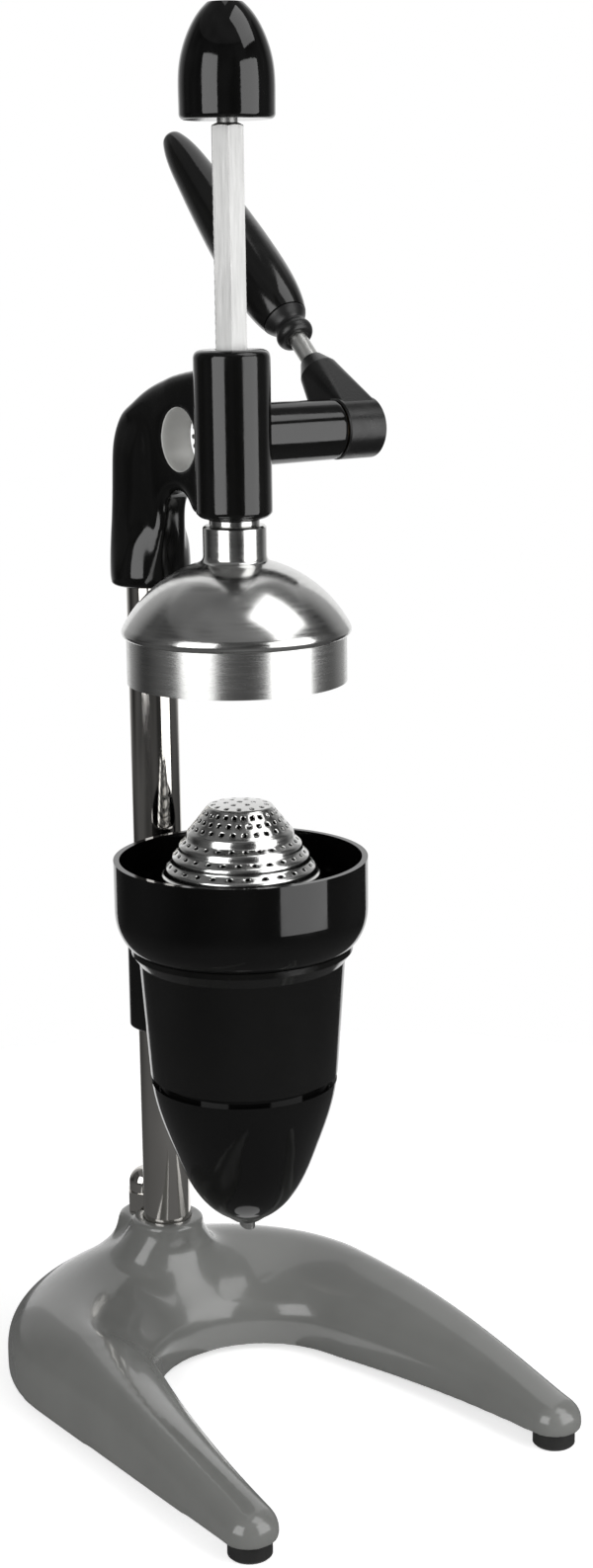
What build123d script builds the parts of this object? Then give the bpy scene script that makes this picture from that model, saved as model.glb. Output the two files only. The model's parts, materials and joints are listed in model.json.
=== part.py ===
from build123d import *
import math
import os

# Lever citrus juice press. Millimetres, +Z up, front towards -Y.
# The origin is on the table, straight under the axis of the ram and the spout.

# ---- fits ----
running = 0.05              # radial clearance of a shaft, ram or screw in its hole
seat_gap = 0.1              # clearance between flat faces that move past each other
side_gap = 0.4              # clearance between neighbours that never touch

# ---- base ----
foot_radius = 10.8
foot_height = 8.0
foot_recess_depth = 4.5
foot_boss_radius = 14.0
foot_screw_radius = 2.5
foot_screw_head_radius = 4.5
foot_screw_length = 14.0
front_foot_x = 93.0         # front feet from the middle plane
front_foot_reach = 141.0    # front feet ahead of the ram axis
rear_foot_inset = 22.5      # rear feet inside the round rear
rear_foot_angle = 40.0      # degrees behind square to the middle plane
rear_rim_z = 2.5            # underside of the round rear, lower than the tips
leg_tip_x = 93.1
leg_tip_reach = 140.8
leg_tip_radius = 14.4
leg_tip_rise = 17.0         # rises are heights of the crest above the rim
mid_leg_rise = 34.5
shoulder_rise = 46.0
rear_rise = 46.0
throat_radius = 54.4
throat_setback = 11.0       # centre of the throat ahead of the ram axis
rear_centre_reach = 40.6    # centre of the round rear behind the ram axis
rear_radius = 110.0
leg_inner_bow = 4.0         # inner edge of the leg, outside the straight line at mid leg
crest_share_tip = 0.5       # place of the crest across the casting, from the inner edge
crest_share_mid = 0.69
crest_share_rear = 0.55
wall_share_rear = 0.34      # share of the rise that is upright at both edges
wall_share_tip = 0.4
ridge_fullness = 0.08       # how far the inner slope stays level beside the crest
inner_fullness = 0.59       # how far the inner slope stays upright above its wall
outer_fullness = 0.47
round_fullness = 0.552      # as in a quarter of an ellipse
base_wall = 7.0
hollow_share = 0.7          # share of each leg that is hollow

# ---- crown of the base ----
crown_top_z = 72.0
crown_top_radius = 20.0
crown_flare_radius = 33.0
crown_flare_depth = 27.0    # half depth of the flare, front to back
crown_flare_shift = 9.0     # flare behind the column axis
crown_flare_z = 44.0
lobe_top_z = 68.0
lobe_top_radius = 16.0
lobe_flare_radius = 27.0
crown_edge_round = 3.0
boss_radius = 22.0
boss_bottom_z = 18.0
socket_floor_z = 27.0

# ---- column ----
column_radius = 13.1
column_wall = 2.0
throat_depth = 81.9         # ram axis to column axis
column_plug_length = 24.0
column_bolt_radius = 5.0
column_bolt_grip = 20.0     # thread of the bolt inside the plug
column_bolt_head = 16.0
column_bolt_head_height = 6.0
column_washer_radius = 11.0
washer_thickness = 2.0

# ---- cotter bolt that locks the column ----
cotter_radius = 11.5
cotter_stud_radius = 6.0
cotter_bottom_z = 24.0
cotter_top_z = 56.0
cotter_washer_thickness = 1.2
nut_across_flats = 19.0
nut_hex_height = 11.0
nut_height = 24.5

# ---- ram ----
ram_across_flats = 15.0
ram_top_z = 656.5
ram_chamfer = 1.6
stroke = 104.0
barrel_bottom_z = 467.5
barrel_top_z = 550.0
barrel_radius = 19.0
barrel_edge_round = 3.5
ram_spigot_radius = 5.0
ram_spigot_length = 8.0
cap_stud_radius = 5.0
cap_stud_length = 22.0

# ---- rack and pinion ----
gear_module = 1.5
pinion_teeth = 15
pressure_angle = 20.0
addendum = 1.2
dedendum = 1.5
backlash = 0.14
pinion_z = 506.4
pinion_reach = 5.0          # pinion past the middle of the ram, away from its shaft
shaft_radius = 8.0
bush_length = 20.0
hub_radius = 16.0
hub_end_radius = 15.4
hub_end_x = 72.0
spare_teeth = 2             # rack teeth past each end of the travel

# ---- arm casting ----
sleeve_radius = 21.3
sleeve_neck_radius = 19.8
sleeve_bottom_z = 426.0
sleeve_neck_z = 486.0
sleeve_top_z = 521.0
sleeve_edge_round = 3.5
column_top_z = 497.0
web_thickness = 18.0
web_top_z = 541.0
web_hole_radius = 16.0
web_hole_reach = 37.2       # behind the ram axis
web_hole_z = 504.5
arch_radius = 14.5
arch_reach = 42.0
arch_z = 463.5
web_edge_round = 4.5
set_screw_radius = 4.0
set_screw_length = 7.0
brake_z = 479.0
brake_plug_length = 5.0

# ---- ram cap ----
cap_gap = 1.5               # shadow gap between the bar and the cap
cap_radius = 23.2
cap_height = 53.6
cap_top_radius = 8.6
cap_edge_round = 2.6

# ---- presser ----
stop_washer_radius = 12.6
stop_washer_thickness = 3.0
neck_radius = 15.9
neck_length = 24.0
dome_radius = 64.5
dome_centre_drop = 80.3     # below the top of the neck
dome_wall = 1.6
skirt_radius = 55.2
skirt_bottom_drop = 78.1
bead_radius = 57.2
bead_drop = 53.5
bead_height = 3.6
presser_screw_radius = 3.0
presser_screw_length = 42.0
presser_head_radius = 5.5
presser_head_height = 4.5

# ---- lever ----
lever_lean = 48.8           # degrees back from upright, ram up
lever_x = 85.5              # plane in which the lever swings
lever_hub_thickness = 22.8
lever_hub_radius = 15.6
lever_boss_radius = 10.4
lever_boss_start = 41.0     # from the pinion axis
lever_boss_end = 49.5
lever_boss_end_radius = 6.4
lever_edge_round = 1.5
thrust_washer_thickness = 0.9
thrust_washer_radius = 13.6
shaft_end_cover = 2.0       # metal left over the end of the shaft
rod_radius = 5.0
rod_start = 11.0
rod_end = 160.0
collar_start = 66.0
collar_end = 82.0
collar_small_radius = 8.7
grip_start_radius = 12.2
grip_belly = 123.0
grip_belly_radius = 16.2
grip_shoulder = 199.0
grip_shoulder_radius = 11.2
grip_tip_radius = 6.5
lever_length = 231.0
lever_screw_radius = 3.0
lever_screw_length = 7.0

# ---- bowl bracket ----
flange_radius = 57.0
flange_rim_height = 3.0
flange_height = 8.5
bracket_top_z = 249.5
body_top_radius = 53.0
body_bottom_radius = 48.7
body_bottom_z = 180.4
body_wall = 4.0
lower_sleeve_radius = 17.7
lower_sleeve_bottom_z = 184.0
bracket_web_thickness = 16.0
bracket_web_bottom_z = 192.0
bracket_screw_z = 215.0

# ---- funnel, lower cone and spout ----
cone_gap = 4.3              # shadow groove under the bracket
cone_top_radius = 48.2
cone_belly_radius = 38.0
cone_belly_drop = 36.0
cone_tip_radius = 11.8
cone_bottom_z = 98.0
cone_wall = 3.0
cone_spigot_length = 10.0
spout_radius = 4.2
spout_bore_radius = 3.0
spout_tip_z = 92.5
spout_top_z = 108.0
funnel_wall = 1.2
funnel_rim_drop = 17.5      # rim of the funnel below the top of the bracket
funnel_outlet_radius = 5.2

# ---- bowl and strainer ----
bowl_radius = 65.0
bowl_rim_z = 295.0
bowl_foot_radius = 56.5
bowl_wall = 3.0
bowl_side_z = 270.0         # where the upright side starts
bowl_spigot_length = 7.0
drain_radius = 30.0
strainer_top_z = 322.0
strainer_top_radius = 15.5
strainer_cone_radius = 26.8
strainer_cone_z = 308.0
strainer_step_radii = (31.4, 35.1, 38.8)
strainer_step_height = 5.6
strainer_skirt_radius = 41.2
strainer_lip_radius = 44.0
strainer_wall = 1.0
strainer_hole_radius = 0.9
strainer_holes_round = 26

# ---- worked out from the sizes above ----
pitch_radius = gear_module * pinion_teeth / 2
rack_pitch = math.pi * gear_module
pinion_y = ram_across_flats / 2 - addendum + pitch_radius
tip_radius = pitch_radius + addendum
pinion_bore_radius = tip_radius + side_gap
pinion_left_x = -pinion_reach
pinion_right_x = ram_across_flats / math.sqrt(3)
pinion_pocket_x = pinion_left_x - side_gap
column_y = throat_depth
cotter_y = column_y + column_radius + nut_across_flats / 2 + side_gap
neck_top_z = barrel_bottom_z - seat_gap - stop_washer_thickness
lever_inner_x = hub_end_x + seat_gap + thrust_washer_thickness
lever_hub_shift = lever_inner_x + lever_hub_thickness / 2 - lever_x
cone_top_z = body_bottom_z - cone_gap
lever_frame = Pos(lever_x, pinion_y, pinion_z) * Rot(-lever_lean, 0, 0)
nut_base_z = lobe_top_z + cotter_washer_thickness


# ---- helpers ----
def rod(radius, bottom, top, x=0.0, y=0.0):
    """Upright cylinder between two heights."""
    body = Cylinder(radius, top - bottom, align=(Align.CENTER, Align.CENTER, Align.MIN))
    return Pos(x, y, bottom) * body


def ring(outer, inner, bottom, top, x=0.0, y=0.0):
    """Upright tube between two heights."""
    return rod(outer, bottom, top, x, y) - rod(inner, bottom - 1, top + 1, x, y)


def turned(edges, x=0.0, y=0.0):
    """Solid of revolution from edges drawn as (radius, height)."""
    profile = Plane.XZ * make_face(edges)
    return Pos(x, y, 0) * revolve(profile, Axis.Z)


def turned_points(points, x=0.0, y=0.0):
    """Solid of revolution from straight-sided points (radius, height)."""
    return turned(Polyline(*points, close=True), x, y)


def along_x(solid, left):
    """Stand an upright solid on its side so that its bottom is at a place along the pinion axis."""
    return Pos(left, pinion_y, pinion_z) * Rot(0, 90, 0) * solid


def hex_bar(across_flats, bottom, top, x=0.0, y=0.0):
    """Upright hexagonal bar with two flats facing front and back."""
    section = RegularPolygon(across_flats / 2, 6, major_radius=False)
    return Pos(x, y, bottom) * extrude(section, top - bottom)


def blend(first, last, share):
    """Value part of the way from one to another."""
    return first + (last - first) * share


# ---- base casting ----
def leg_section(station, inset=0.0):
    """Cross-section of the horseshoe on its rim: inner slope, ridge and rounded outer side."""
    inner, outer, height, crest_share, wall_share, fullness = station
    across = (outer - inner).normalized()
    width = (outer - inner).length - 2 * inset
    top = height - inset
    wall = top * wall_share
    crest = width * crest_share
    floor = -inset
    level, upright, outward = fullness
    inner_slope = Bezier(
        (crest, top),
        (crest * (1 - level), top),
        (0, blend(wall, top, upright)),
        (0, wall),
    )
    outer_side = Bezier(
        (width, wall),
        (width, blend(wall, top, outward)),
        (blend(crest, width, outward), top),
        (crest, top),
    )
    edges = [
        Line((0, floor), (width, floor)),
        Line((width, floor), (width, wall)),
        outer_side,
        inner_slope,
        Line((0, wall), (0, floor)),
    ]
    normal = across.cross(Vector(0, 0, 1))
    return Plane(origin=inner + across * inset, x_dir=across, z_dir=normal) * make_face(edges)


def inner_edge_normal():
    """Direction square to the line from the throat to the inner side of the tip."""
    reach = Vector(leg_tip_x, throat_setback - leg_tip_reach, 0)
    across = Vector(-reach.Y, reach.X, 0).normalized()
    share = (throat_radius + leg_tip_radius) / reach.length
    return reach.normalized() * share + across * math.sqrt(1 - share * share)


def round_station(share):
    """Cross-section round the back, from the middle plane to the shoulder."""
    normal = inner_edge_normal()
    throat_angle = math.atan2(normal.X, normal.Y) * share
    rear_angle = math.pi / 2 * share
    inner_dir = Vector(math.sin(throat_angle), math.cos(throat_angle), 0)
    outer_dir = Vector(math.sin(rear_angle), math.cos(rear_angle), 0)
    inner = Vector(0, -throat_setback, rear_rim_z) + inner_dir * throat_radius
    outer = Vector(0, rear_centre_reach, rear_rim_z) + outer_dir * rear_radius
    rise = blend(rear_rise, shoulder_rise, share)
    fullness = (ridge_fullness, inner_fullness, outer_fullness)
    return (inner, outer, rise, crest_share_rear, wall_share_rear, fullness)


def through_middle(first, middle, last, share):
    """Value on the parabola through three values, the middle one halfway."""
    swell = middle - (first + last) / 2
    return blend(first, last, share) + 4 * swell * share * (1 - share)


def leg_station(share):
    """Cross-section of the right leg, from the shoulder to the tip."""
    normal = inner_edge_normal()
    shoulder = round_station(1.0)
    tip = Vector(leg_tip_x, -leg_tip_reach, foot_height)
    bow = normal * (4 * leg_inner_bow * share * (1 - share))
    inner = blend(shoulder[0], tip - normal * leg_tip_radius, share) + bow
    outer = blend(shoulder[1], tip + normal * leg_tip_radius, share)
    rise = through_middle(shoulder_rise, mid_leg_rise, leg_tip_rise, share)
    crest = through_middle(crest_share_rear, crest_share_mid, crest_share_tip, share)
    wall = blend(wall_share_rear, wall_share_tip, share)
    fullness = [blend(value, round_fullness, share * share) for value in shoulder[5]]
    return (inner, outer, rise, crest, wall, fullness)


def mirrored(station):
    """The same cross-section on the left side."""
    inner, outer = station[:2]
    flipped = (Vector(-inner.X, inner.Y, inner.Z), Vector(-outer.X, outer.Y, outer.Z))
    return flipped + station[2:]


def horseshoe(leg_share, inset=0.0):
    """Solid horseshoe: round back and two legs, up to a share of their length."""
    right = [round_station(step / 4) for step in range(1, 5)]
    left = [mirrored(station) for station in reversed(right)]
    stations = left + [round_station(0.0)] + right
    back = loft([leg_section(station, inset) for station in stations])
    shares = (0.0, leg_share / 2, leg_share)
    leg = loft([leg_section(leg_station(share), inset) for share in shares])
    return back + leg + mirror(leg, about=Plane.YZ)


def leg_tip():
    """Rounded end of the right leg, half a turn about its foot."""
    wall_top = foot_height + leg_tip_rise * wall_share_tip
    top = foot_height + leg_tip_rise
    edges = [
        Line((0, foot_height), (leg_tip_radius, foot_height)),
        Line((leg_tip_radius, foot_height), (leg_tip_radius, wall_top)),
        Bezier(
            (leg_tip_radius, wall_top),
            (leg_tip_radius, blend(wall_top, top, round_fullness)),
            (leg_tip_radius * round_fullness, top),
            (0, top),
        ),
        Line((0, top), (0, foot_height)),
    ]
    normal = inner_edge_normal()
    turn = math.degrees(math.atan2(-normal.Y, -normal.X))
    half = revolve(Plane.XZ * make_face(edges), Axis.Z, 180)
    return Pos(leg_tip_x, -leg_tip_reach, 0) * Rot(0, 0, turn) * half


def flared_boss(top_z, top_radius, flare, y):
    """Boss that sweeps out and back into the casting, from a flare of half width and depth."""
    flare_radius, flare_depth, shift = flare
    low = rear_rim_z + rear_rise - 2 * base_wall
    waist = Pos(0, y, top_z - crown_edge_round) * Circle(top_radius)
    belly_z = blend(crown_flare_z, top_z, 0.4)
    belly_width = blend(top_radius, flare_radius, 0.2)
    belly_depth = blend(top_radius, flare_depth, 0.2)
    belly = Pos(0, y + 0.2 * shift, belly_z) * Ellipse(belly_width, belly_depth)
    foot = Pos(0, y + shift, crown_flare_z) * Ellipse(flare_radius, flare_depth)
    boss = loft([foot, belly, waist])
    boss += Pos(0, y + shift, low) * extrude(Ellipse(flare_radius, flare_depth), crown_flare_z - low)
    edge = crown_edge_round
    top = [
        Line((0, top_z - edge), (top_radius, top_z - edge)),
        CenterArc((top_radius - edge, top_z - edge), edge, 0, 90),
        Line((top_radius - edge, top_z), (0, top_z)),
        Line((0, top_z), (0, top_z - edge)),
    ]
    return boss + turned(top, 0, y)


def front_feet_places():
    return [(side * front_foot_x, -front_foot_reach) for side in (-1, 1)]


def rear_feet_places():
    angle = math.radians(rear_foot_angle)
    reach = rear_radius - rear_foot_inset
    x = reach * math.cos(angle)
    y = rear_centre_reach + reach * math.sin(angle)
    return [(side * x, y) for side in (-1, 1)]


def make_base_casting():
    """Hollow horseshoe with a crown for the column and a lobe for the cotter bolt."""
    outside = horseshoe(1.0)
    high = rear_rim_z + rear_rise
    bosses = rod(boss_radius, boss_bottom_z, high, 0, column_y)
    bosses += rod(lobe_top_radius, boss_bottom_z, high, 0, cotter_y)
    for x, y in rear_feet_places():
        bosses += rod(foot_boss_radius, rear_rim_z, high, x, y)
    body = outside - (horseshoe(hollow_share, base_wall) - bosses)
    body += leg_tip()
    body += mirror(leg_tip(), about=Plane.YZ)
    crown_flare = (crown_flare_radius, crown_flare_depth, crown_flare_shift)
    body += flared_boss(crown_top_z, crown_top_radius, crown_flare, column_y)
    lobe_flare = (lobe_flare_radius, lobe_flare_radius, 0)
    body += flared_boss(lobe_top_z, lobe_top_radius, lobe_flare, cotter_y)
    holes = rod(column_radius + running, socket_floor_z, crown_top_z + 10, 0, column_y)
    holes += rod(column_bolt_radius + running, 0, socket_floor_z, 0, column_y)
    holes += rod(cotter_radius + running, 0, cotter_top_z, 0, cotter_y)
    holes += rod(cotter_stud_radius + running, 0, crown_top_z + 10, 0, cotter_y)
    spot_radius = nut_across_flats / math.sqrt(3) + side_gap
    holes += rod(spot_radius, lobe_top_z, crown_top_z + 10, 0, cotter_y)
    for x, y in front_feet_places() + rear_feet_places():
        recess_top = foot_height + foot_recess_depth
        holes += rod(foot_radius + running, 0, recess_top, x, y)
        holes += rod(foot_screw_radius + running, 0, recess_top + foot_screw_length / 2, x, y)
    return body - holes


def make_feet(places):
    """Rubber feet pressed into the recesses of the base."""
    top = foot_height + foot_recess_depth
    head_room = rod(foot_screw_head_radius + running, -1, foot_height / 2)
    foot = rod(foot_radius, 0, top) - head_room - rod(foot_screw_radius + running, 0, top + 1)
    foot = chamfer(foot.edges().group_by(Axis.Z)[0].sort_by(SortBy.RADIUS)[-1], 0.8)
    return Compound([Pos(x, y, 0) * foot.solid() for x, y in places])


def make_foot_screws():
    """Pan-head screws that hold the feet."""
    seat = foot_height / 2
    screw = rod(foot_screw_head_radius, seat - 2.5, seat)
    screw += rod(foot_screw_radius, seat, seat + foot_screw_length)
    places = front_feet_places() + rear_feet_places()
    return Compound([Pos(x, y, 0) * screw.solid() for x, y in places])


# ---- column and its fastenings ----
def make_column_tube():
    inner = column_radius - column_wall
    return ring(column_radius, inner, socket_floor_z, column_top_z, 0, column_y)


def make_column_plug():
    top = socket_floor_z + column_plug_length
    radius = column_radius - column_wall - running
    return ring(radius, column_bolt_radius + running, socket_floor_z, top, 0, column_y)


def make_column_washer():
    low = boss_bottom_z - washer_thickness
    hole = column_bolt_radius + running
    return ring(column_washer_radius, hole, low, boss_bottom_z, 0, column_y)


def make_column_bolt():
    seat = boss_bottom_z - washer_thickness
    head = hex_bar(column_bolt_head, seat - column_bolt_head_height, seat, 0, column_y)
    top = socket_floor_z + column_bolt_grip
    return head + rod(column_bolt_radius, seat, top, 0, column_y)


def make_cotter_bolt():
    """Bolt whose hollowed side draws against the column."""
    body = rod(cotter_radius, cotter_bottom_z, cotter_top_z - seat_gap, 0, cotter_y)
    body -= rod(column_radius + running, 0, crown_top_z, 0, column_y)
    stud_top = nut_base_z + nut_height * 0.7
    return body + rod(cotter_stud_radius, cotter_top_z - 2, stud_top, 0, cotter_y)


def make_cotter_washer():
    radius = nut_across_flats / 2
    hole = cotter_stud_radius + running
    return ring(radius, hole, lobe_top_z, nut_base_z, 0, cotter_y)


def make_acorn_nut():
    """Hexagon with a domed cap, bored from below."""
    dome_base = nut_base_z + nut_hex_height
    top = nut_base_z + nut_height
    radius = nut_across_flats / 2 - 0.3
    edges = [
        Line((0, nut_base_z), (radius, nut_base_z)),
        Line((radius, nut_base_z), (radius, top - radius)),
        CenterArc((0, top - radius), radius, 0, 90),
        Line((0, top), (0, nut_base_z)),
    ]
    dome = turned(edges, 0, cotter_y)
    hexagon = hex_bar(nut_across_flats, nut_base_z, dome_base, 0, cotter_y)
    corner_cone = turned_points(
        [
            (0, nut_base_z),
            (radius + 3, nut_base_z),
            (radius + 3, dome_base - 1.2),
            (radius + 1, dome_base),
            (0, dome_base),
        ],
        0,
        cotter_y,
    )
    bore = rod(cotter_stud_radius + running, 0, nut_base_z + nut_height * 0.7, 0, cotter_y)
    return (hexagon & corner_cone) + dome - bore


# ---- arm casting ----
def arm_sleeve():
    """Sleeve on the column with a domed top."""
    edge = sleeve_edge_round
    corner_r = sleeve_radius - edge
    corner_z = sleeve_bottom_z + edge
    side_top = (sleeve_radius, sleeve_bottom_z + edge + 10)
    shoulder = (sleeve_neck_radius, sleeve_neck_z)
    edges = [
        Line((0, sleeve_bottom_z), (corner_r, sleeve_bottom_z)),
        CenterArc((corner_r, corner_z), edge, 270, 90),
        Line((sleeve_radius, corner_z), side_top),
        Line(side_top, shoulder),
        Spline(shoulder, (0, sleeve_top_z), tangents=[(-0.03, 1), (-1, 0)]),
        Line((0, sleeve_top_z), (0, sleeve_bottom_z)),
    ]
    return turned(edges, 0, column_y)


def arm_web():
    """Curved neck between the sleeve and the barrel, with the arch under it."""
    back_y = column_y + sleeve_radius
    low_z = sleeve_bottom_z + sleeve_edge_round + 8
    bottom_angle = math.degrees(math.asin((barrel_bottom_z - arch_z) / arch_radius))
    arch = CenterArc((arch_reach, arch_z), arch_radius, 0, 180 - bottom_angle)
    arch_right = (arch_reach + arch_radius, arch_z)
    top = Spline(
        (0, web_top_z),
        (arch_reach, web_top_z - 4),
        (column_y, sleeve_top_z + 3),
        (back_y - 1, sleeve_neck_z + 2),
        tangents=[(1, 0), (0.02, -1)],
    )
    edges = [
        top,
        Line((back_y - 1, sleeve_neck_z + 2), (back_y - 1, low_z)),
        Line((back_y - 1, low_z), (column_y - sleeve_radius + 1, low_z)),
        Line((column_y - sleeve_radius + 1, low_z), arch_right),
        arch,
        Line(arch @ 1, (0, barrel_bottom_z)),
        Line((0, barrel_bottom_z), (0, web_top_z)),
    ]
    section = Plane.YZ * make_face(edges)
    web = extrude(section, web_thickness / 2, both=True)
    rims = web.edges().filter_by(lambda e: abs(e.center().X) > web_thickness / 2 - 0.01)
    long_rims = rims.filter_by(lambda e: e.center().Z > arch_z and e.center().Y > 5)
    return fillet(long_rims, web_edge_round)


def arm_barrel():
    """Guide of the ram."""
    barrel = rod(barrel_radius, barrel_bottom_z, barrel_top_z)
    rims = barrel.edges().filter_by(GeomType.CIRCLE)
    return fillet(rims, barrel_edge_round)


def arm_hub():
    """Housing of the pinion shaft."""
    profile = [(0, 0), (hub_radius, 0), (hub_end_radius, hub_end_x), (0, hub_end_x)]
    return along_x(turned_points(profile), 0)


def screw_hole_places():
    """Set screws of the sleeve, behind the column."""
    return [sleeve_bottom_z + 15, sleeve_bottom_z + 45]


def behind_column(radius, near, far, z):
    """Level cylinder on the rear of the column, between two distances from its axis."""
    body = Cylinder(radius, far - near, align=(Align.CENTER, Align.CENTER, Align.MIN))
    return Pos(0, column_y + near, z) * Rot(-90, 0, 0) * body


def beside_ram(radius, near, far):
    """Level cylinder square to the rear right flat of the ram."""
    body = Cylinder(radius, far - near, align=(Align.CENTER, Align.CENTER, Align.MIN))
    return Pos(0, 0, brake_z) * Rot(0, 0, 30) * Rot(0, 90, 0) * Pos(0, 0, near) * body


def make_upper_arm():
    """Gooseneck arm: sleeve, web, barrel and shaft housing in one casting."""
    body = arm_sleeve() + arm_web() + arm_barrel() + arm_hub()
    body -= rod(column_radius + running, sleeve_bottom_z - 1, column_top_z, 0, column_y)
    body -= hex_bar(ram_across_flats + 2 * running, barrel_bottom_z - 1, barrel_top_z + 1)
    pocket = rod(pinion_bore_radius, 0, hub_end_x + 1 - pinion_pocket_x)
    body -= along_x(pocket, pinion_pocket_x)
    hole = Cylinder(web_hole_radius, web_thickness + 2)
    body -= Pos(0, web_hole_reach, web_hole_z) * Rot(0, 90, 0) * hole
    for z in screw_hole_places():
        body -= behind_column(set_screw_radius + running, 0, sleeve_radius + 5, z)
    body -= beside_ram(set_screw_radius + running, 0, barrel_radius + 5)
    return body


def make_arm_set_screws():
    near = column_radius + running
    screws = [
        behind_column(set_screw_radius, near, near + set_screw_length, z).solid()
        for z in screw_hole_places()
    ]
    return Compound(screws)


def make_brake_plug():
    near = ram_across_flats / 2 + seat_gap
    return beside_ram(set_screw_radius, near, near + brake_plug_length)


def make_brake_screw():
    near = ram_across_flats / 2 + seat_gap + brake_plug_length
    return beside_ram(set_screw_radius, near, barrel_radius - 1)


def make_shaft_bushes():
    """Two plain bearings, one behind the pinion and one at the mouth of the housing."""
    bush = ring(pinion_bore_radius - running, shaft_radius + running, 0, bush_length)
    inner_left = pinion_right_x + seat_gap
    outer_left = hub_end_x - bush_length
    return Compound([along_x(bush, left).solid() for left in (inner_left, outer_left)])


# ---- rack and pinion ----
def involute(base_radius, radius):
    """Polar angle of an involute flank at a radius."""
    roll = math.sqrt(max(radius * radius / (base_radius * base_radius) - 1, 0))
    return roll - math.atan(roll)


def tooth_flank(half_angle, base_radius, side):
    """Curved flank of a tooth from its base circle to its tip."""
    points = []
    for step in range(4):
        radius = blend(base_radius, tip_radius, step / 3)
        lean = half_angle - involute(base_radius, radius)
        points.append((radius * math.sin(side * lean), radius * math.cos(lean)))
    return Spline(*points)


def pinion_tooth():
    """One tooth drawn upright in the plane of the pinion."""
    base_radius = pitch_radius * math.cos(math.radians(pressure_angle))
    thickness = (rack_pitch - backlash) / 2
    half_angle = thickness / 2 / pitch_radius + involute(base_radius, pitch_radius)
    root = pitch_radius - dedendum - 0.5
    right = tooth_flank(half_angle, base_radius, 1)
    left = tooth_flank(half_angle, base_radius, -1)
    root_right = (root * math.sin(half_angle), root * math.cos(half_angle))
    root_left = (-root_right[0], root_right[1])
    tip = ThreePointArc(right @ 1, (0, tip_radius), left @ 1)
    edges = [
        Line(root_left, root_right),
        Line(root_right, right @ 0),
        right,
        tip,
        left,
        Line(left @ 0, root_left),
    ]
    return make_face(edges)


def make_pinion_shaft():
    """Shaft with the pinion cut on its inner end, a tooth space facing the rack."""
    gear = Circle(pitch_radius - dedendum)
    tooth = pinion_tooth()
    for index in range(pinion_teeth):
        turn = 180 + 360 / pinion_teeth * (index + 0.5)
        gear += Rot(0, 0, turn) * tooth
    blank = extrude(gear, pinion_right_x - pinion_left_x)
    shaft_end_x = lever_inner_x + lever_hub_thickness - shaft_end_cover
    shaft = rod(shaft_radius, 1, shaft_end_x - pinion_left_x)
    return along_x(blank + shaft, pinion_left_x)


def rack_space():
    """Gap between two rack teeth, drawn in the plane of the pinion."""
    flat = ram_across_flats / 2
    pitch_line = flat - addendum
    slope = math.tan(math.radians(pressure_angle))
    half_gap = (rack_pitch + backlash) / 4
    floor_y = pitch_line - dedendum
    top_y = flat + 1
    low_half = half_gap - dedendum * slope
    high_half = half_gap + (top_y - pitch_line) * slope
    corners = [(floor_y, -low_half), (top_y, -high_half), (top_y, high_half), (floor_y, low_half)]
    return Plane.YZ * make_face(Polyline(*corners, close=True))


def make_rack_ram():
    """Hexagonal bar with a rack along its rear flat."""
    low = neck_top_z + stop_washer_thickness
    bar = hex_bar(ram_across_flats, low, ram_top_z)
    corner = ram_across_flats / math.sqrt(3)
    bar &= turned_points(
        [
            (0, low),
            (corner, low),
            (corner, ram_top_z - ram_chamfer),
            (corner - 2 * ram_chamfer, ram_top_z),
            (0, ram_top_z),
        ]
    )
    cutter = extrude(rack_space(), ram_across_flats, both=True)
    first = -spare_teeth - 1
    last = math.ceil(stroke / rack_pitch) + spare_teeth
    for index in range(first, last + 1):
        bar -= Pos(0, 0, pinion_z + (index + 0.5) * rack_pitch) * cutter
    bar += rod(cap_stud_radius, ram_top_z - 1, ram_top_z + cap_gap + cap_stud_length)
    bar += rod(ram_spigot_radius, low - ram_spigot_length, low + 1)
    bar -= rod(presser_screw_radius + running, 0, neck_top_z - neck_length + presser_screw_length)
    return bar


# ---- cap and presser ----
def make_ram_cap():
    """Domed counterweight knob on the top of the ram."""
    bottom = ram_top_z + cap_gap
    top = bottom + cap_height
    edge = cap_edge_round
    shoulder_z = top - cap_height * 0.48
    side = Spline(
        (cap_radius, bottom + edge),
        (cap_radius - 1, shoulder_z),
        (cap_radius - 6.3, top - 10.7),
        (cap_top_radius, top),
        tangents=[(0, 1), (-1, 0.85)],
    )
    edges = [
        Line((0, bottom), (cap_radius - edge, bottom)),
        CenterArc((cap_radius - edge, bottom + edge), edge, 270, 90),
        side,
        Line((cap_top_radius, top), (0, top)),
        Line((0, top), (0, bottom)),
    ]
    bore_top = ram_top_z + cap_gap + cap_stud_length
    return turned(edges) - rod(cap_stud_radius + running, 0, bore_top)


def make_stop_washer():
    hole = ram_spigot_radius + running
    top = neck_top_z + stop_washer_thickness
    washer = ring(stop_washer_radius, hole, neck_top_z, top)
    outer = washer.edges().filter_by(GeomType.CIRCLE).sort_by(SortBy.RADIUS)[-2:]
    return chamfer(outer, 0.4)


def dome_point(radius, reach, centre_z):
    """Point of the dome outline at a distance from the axis."""
    return (reach, centre_z + math.sqrt(radius * radius - reach * reach))


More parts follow.
